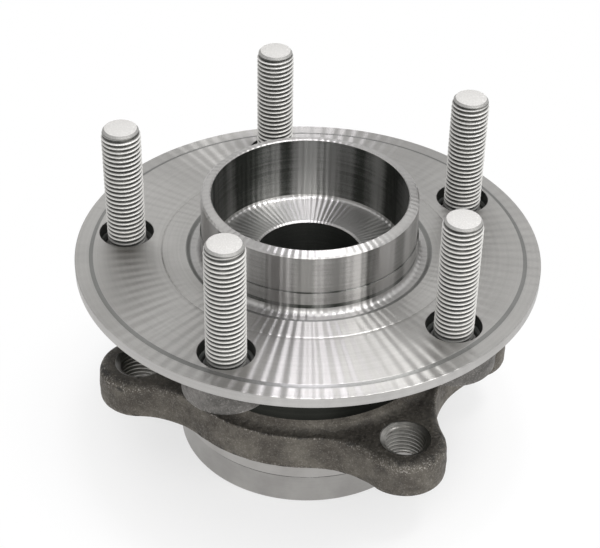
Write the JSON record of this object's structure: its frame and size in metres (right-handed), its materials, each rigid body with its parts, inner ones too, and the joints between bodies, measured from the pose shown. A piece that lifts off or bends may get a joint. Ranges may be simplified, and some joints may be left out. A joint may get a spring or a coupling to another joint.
{
  "type": "wheel hub bearing unit",
  "caption": "Hub bearing unit for a driven wheel: a studded flange with a pilot cup turns on two ball rows inside a forged ring with threaded ears.",
  "frame": {"origin": "centre of the wheel-mounting face, on the axis of the unit", "axes": "+Z along the axis towards the wheel, X and Y along the long and short sides of the rectangle of ear holes"},
  "size_m": [0.1436, 0.1436, 0.1075],
  "materials": {
    "turned_steel": "fine turned steel with concentric tool marks",
    "forged_steel": "forged scale on the ears, turned and ground steel on the neck and spigot",
    "stud_coating": "matte pale zinc-flake coating on rolled threads",
    "bearing_steel": "ground and lapped bearing steel",
    "cage_nylon": "moulded glass-filled nylon",
    "sheet_steel": "pressed stainless sheet",
    "seal_rubber": "moulded black rubber",
    "magnet_rubber": "magnet-filled black rubber, fine satin"
  },
  "bodies": {
    "knuckle_side": {"outer_ring": "forged_steel", "outboard_seal_case": "sheet_steel", "outboard_seal_lip": "seal_rubber", "inboard_seal_case": "sheet_steel", "inboard_seal_lip": "seal_rubber"},
    "wheel_side": {"hub": "turned_steel", "inner_ring": "bearing_steel", "wheel_stud_1": "stud_coating", "wheel_stud_2": "stud_coating", "wheel_stud_3": "stud_coating", "wheel_stud_4": "stud_coating", "wheel_stud_5": "stud_coating", "inboard_slinger": "sheet_steel", "encoder_ring": "magnet_rubber"},
    "outboard_cage": {"outboard_cage": "cage_nylon"},
    "inboard_cage": {"inboard_cage": "cage_nylon"},
    "outboard_ball_01": {"outboard_ball_01": "bearing_steel"},
    "outboard_ball_02": {"outboard_ball_02": "bearing_steel"},
    "outboard_ball_03": {"outboard_ball_03": "bearing_steel"},
    "outboard_ball_04": {"outboard_ball_04": "bearing_steel"},
    "outboard_ball_05": {"outboard_ball_05": "bearing_steel"},
    "outboard_ball_06": {"outboard_ball_06": "bearing_steel"},
    "outboard_ball_07": {"outboard_ball_07": "bearing_steel"},
    "outboard_ball_08": {"outboard_ball_08": "bearing_steel"},
    "outboard_ball_09": {"outboard_ball_09": "bearing_steel"},
    "outboard_ball_10": {"outboard_ball_10": "bearing_steel"},
    "outboard_ball_11": {"outboard_ball_11": "bearing_steel"},
    "outboard_ball_12": {"outboard_ball_12": "bearing_steel"},
    "outboard_ball_13": {"outboard_ball_13": "bearing_steel"},
    "inboard_ball_01": {"inboard_ball_01": "bearing_steel"},
    "inboard_ball_02": {"inboard_ball_02": "bearing_steel"},
    "inboard_ball_03": {"inboard_ball_03": "bearing_steel"},
    "inboard_ball_04": {"inboard_ball_04": "bearing_steel"},
    "inboard_ball_05": {"inboard_ball_05": "bearing_steel"},
    "inboard_ball_06": {"inboard_ball_06": "bearing_steel"},
    "inboard_ball_07": {"inboard_ball_07": "bearing_steel"},
    "inboard_ball_08": {"inboard_ball_08": "bearing_steel"},
    "inboard_ball_09": {"inboard_ball_09": "bearing_steel"},
    "inboard_ball_10": {"inboard_ball_10": "bearing_steel"},
    "inboard_ball_11": {"inboard_ball_11": "bearing_steel"},
    "inboard_ball_12": {"inboard_ball_12": "bearing_steel"},
    "inboard_ball_13": {"inboard_ball_13": "bearing_steel"}
  },
  "joints": [
    {"name": "hub_spin", "type": "hinge", "parent": "knuckle_side", "child": "wheel_side", "pos_m": [0, 0, -0.0405], "axis": [0, 0, 1], "continuous": true},
    {"name": "outboard_cage_spin", "type": "hinge", "parent": "knuckle_side", "child": "outboard_cage", "pos_m": [0, 0, -0.0285], "axis": [0, 0, 1], "continuous": true},
    {"name": "outboard_ball_01_spin", "type": "hinge", "parent": "outboard_cage", "child": "outboard_ball_01", "pos_m": [0.031, 0, -0.0285], "axis": [0.6018, 0, 0.7986], "continuous": true},
    {"name": "outboard_ball_02_spin", "type": "hinge", "parent": "outboard_cage", "child": "outboard_ball_02", "pos_m": [0.02745, 0.01441, -0.0285], "axis": [0.5329, 0.2797, 0.7986], "continuous": true},
    {"name": "outboard_ball_03_spin", "type": "hinge", "parent": "outboard_cage", "child": "outboard_ball_03", "pos_m": [0.01761, 0.02551, -0.0285], "axis": [0.3419, 0.4953, 0.7986], "continuous": true},
    {"name": "outboard_ball_04_spin", "type": "hinge", "parent": "outboard_cage", "child": "outboard_ball_04", "pos_m": [0.00374, 0.03077, -0.0285], "axis": [0.0725, 0.5974, 0.7986], "continuous": true},
    {"name": "outboard_ball_05_spin", "type": "hinge", "parent": "outboard_cage", "child": "outboard_ball_05", "pos_m": [-0.01099, 0.02899, -0.0285], "axis": [-0.2134, 0.5627, 0.7986], "continuous": true},
    {"name": "outboard_ball_06_spin", "type": "hinge", "parent": "outboard_cage", "child": "outboard_ball_06", "pos_m": [-0.0232, 0.02056, -0.0285], "axis": [-0.4505, 0.3991, 0.7986], "continuous": true},
    {"name": "outboard_ball_07_spin", "type": "hinge", "parent": "outboard_cage", "child": "outboard_ball_07", "pos_m": [-0.0301, 0.00742, -0.0285], "axis": [-0.5843, 0.144, 0.7986], "continuous": true},
    {"name": "outboard_ball_08_spin", "type": "hinge", "parent": "outboard_cage", "child": "outboard_ball_08", "pos_m": [-0.0301, -0.00742, -0.0285], "axis": [-0.5843, -0.144, 0.7986], "continuous": true},
    {"name": "outboard_ball_09_spin", "type": "hinge", "parent": "outboard_cage", "child": "outboard_ball_09", "pos_m": [-0.0232, -0.02056, -0.0285], "axis": [-0.4505, -0.3991, 0.7986], "continuous": true},
    {"name": "outboard_ball_10_spin", "type": "hinge", "parent": "outboard_cage", "child": "outboard_ball_10", "pos_m": [-0.01099, -0.02899, -0.0285], "axis": [-0.2134, -0.5627, 0.7986], "continuous": true},
    {"name": "outboard_ball_11_spin", "type": "hinge", "parent": "outboard_cage", "child": "outboard_ball_11", "pos_m": [0.00374, -0.03077, -0.0285], "axis": [0.0725, -0.5974, 0.7986], "continuous": true},
    {"name": "outboard_ball_12_spin", "type": "hinge", "parent": "outboard_cage", "child": "outboard_ball_12", "pos_m": [0.01761, -0.02551, -0.0285], "axis": [0.3419, -0.4953, 0.7986], "continuous": true},
    {"name": "outboard_ball_13_spin", "type": "hinge", "parent": "outboard_cage", "child": "outboard_ball_13", "pos_m": [0.02745, -0.01441, -0.0285], "axis": [0.5329, -0.2797, 0.7986], "continuous": true},
    {"name": "inboard_cage_spin", "type": "hinge", "parent": "knuckle_side", "child": "inboard_cage", "pos_m": [0, 0, -0.0525], "axis": [0, 0, 1], "continuous": true},
    {"name": "inboard_ball_01_spin", "type": "hinge", "parent": "inboard_cage", "child": "inboard_ball_01", "pos_m": [0.0301, 0.00742, -0.0525], "axis": [-0.5843, -0.144, 0.7986], "continuous": true},
    {"name": "inboard_ball_02_spin", "type": "hinge", "parent": "inboard_cage", "child": "inboard_ball_02", "pos_m": [0.0232, 0.02056, -0.0525], "axis": [-0.4505, -0.3991, 0.7986], "continuous": true},
    {"name": "inboard_ball_03_spin", "type": "hinge", "parent": "inboard_cage", "child": "inboard_ball_03", "pos_m": [0.01099, 0.02899, -0.0525], "axis": [-0.2134, -0.5627, 0.7986], "continuous": true},
    {"name": "inboard_ball_04_spin", "type": "hinge", "parent": "inboard_cage", "child": "inboard_ball_04", "pos_m": [-0.00374, 0.03077, -0.0525], "axis": [0.0725, -0.5974, 0.7986], "continuous": true},
    {"name": "inboard_ball_05_spin", "type": "hinge", "parent": "inboard_cage", "child": "inboard_ball_05", "pos_m": [-0.01761, 0.02551, -0.0525], "axis": [0.3419, -0.4953, 0.7986], "continuous": true},
    {"name": "inboard_ball_06_spin", "type": "hinge", "parent": "inboard_cage", "child": "inboard_ball_06", "pos_m": [-0.02745, 0.01441, -0.0525], "axis": [0.5329, -0.2797, 0.7986], "continuous": true},
    {"name": "inboard_ball_07_spin", "type": "hinge", "parent": "inboard_cage", "child": "inboard_ball_07", "pos_m": [-0.031, 0, -0.0525], "axis": [0.6018, 0, 0.7986], "continuous": true},
    {"name": "inboard_ball_08_spin", "type": "hinge", "parent": "inboard_cage", "child": "inboard_ball_08", "pos_m": [-0.02745, -0.01441, -0.0525], "axis": [0.5329, 0.2797, 0.7986], "continuous": true},
    {"name": "inboard_ball_09_spin", "type": "hinge", "parent": "inboard_cage", "child": "inboard_ball_09", "pos_m": [-0.01761, -0.02551, -0.0525], "axis": [0.3419, 0.4953, 0.7986], "continuous": true},
    {"name": "inboard_ball_10_spin", "type": "hinge", "parent": "inboard_cage", "child": "inboard_ball_10", "pos_m": [-0.00374, -0.03077, -0.0525], "axis": [0.0725, 0.5974, 0.7986], "continuous": true},
    {"name": "inboard_ball_11_spin", "type": "hinge", "parent": "inboard_cage", "child": "inboard_ball_11", "pos_m": [0.01099, -0.02899, -0.0525], "axis": [-0.2134, 0.5627, 0.7986], "continuous": true},
    {"name": "inboard_ball_12_spin", "type": "hinge", "parent": "inboard_cage", "child": "inboard_ball_12", "pos_m": [0.0232, -0.02056, -0.0525], "axis": [-0.4505, 0.3991, 0.7986], "continuous": true},
    {"name": "inboard_ball_13_spin", "type": "hinge", "parent": "inboard_cage", "child": "inboard_ball_13", "pos_m": [0.0301, -0.00742, -0.0525], "axis": [-0.5843, 0.144, 0.7986], "continuous": true}
  ],
  "couplings": [
    {"joint": "outboard_cage_spin", "follows": "hub_spin", "ratio": 0.4182},
    {"joint": "outboard_ball_01_spin", "follows": "hub_spin", "ratio": -2.3756},
    {"joint": "outboard_ball_02_spin", "follows": "hub_spin", "ratio": -2.3756},
    {"joint": "outboard_ball_03_spin", "follows": "hub_spin", "ratio": -2.3756},
    {"joint": "outboard_ball_04_spin", "follows": "hub_spin", "ratio": -2.3756},
    {"joint": "outboard_ball_05_spin", "follows": "hub_spin", "ratio": -2.3756},
    {"joint": "outboard_ball_06_spin", "follows": "hub_spin", "ratio": -2.3756},
    {"joint": "outboard_ball_07_spin", "follows": "hub_spin", "ratio": -2.3756},
    {"joint": "outboard_ball_08_spin", "follows": "hub_spin", "ratio": -2.3756},
    {"joint": "outboard_ball_09_spin", "follows": "hub_spin", "ratio": -2.3756},
    {"joint": "outboard_ball_10_spin", "follows": "hub_spin", "ratio": -2.3756},
    {"joint": "outboard_ball_11_spin", "follows": "hub_spin", "ratio": -2.3756},
    {"joint": "outboard_ball_12_spin", "follows": "hub_spin", "ratio": -2.3756},
    {"joint": "outboard_ball_13_spin", "follows": "hub_spin", "ratio": -2.3756},
    {"joint": "inboard_cage_spin", "follows": "hub_spin", "ratio": 0.4182},
    {"joint": "inboard_ball_01_spin", "follows": "hub_spin", "ratio": -2.3756},
    {"joint": "inboard_ball_02_spin", "follows": "hub_spin", "ratio": -2.3756},
    {"joint": "inboard_ball_03_spin", "follows": "hub_spin", "ratio": -2.3756},
    {"joint": "inboard_ball_04_spin", "follows": "hub_spin", "ratio": -2.3756},
    {"joint": "inboard_ball_05_spin", "follows": "hub_spin", "ratio": -2.3756},
    {"joint": "inboard_ball_06_spin", "follows": "hub_spin", "ratio": -2.3756},
    {"joint": "inboard_ball_07_spin", "follows": "hub_spin", "ratio": -2.3756},
    {"joint": "inboard_ball_08_spin", "follows": "hub_spin", "ratio": -2.3756},
    {"joint": "inboard_ball_09_spin", "follows": "hub_spin", "ratio": -2.3756},
    {"joint": "inboard_ball_10_spin", "follows": "hub_spin", "ratio": -2.3756},
    {"joint": "inboard_ball_11_spin", "follows": "hub_spin", "ratio": -2.3756},
    {"joint": "inboard_ball_12_spin", "follows": "hub_spin", "ratio": -2.3756},
    {"joint": "inboard_ball_13_spin", "follows": "hub_spin", "ratio": -2.3756}
  ]
}
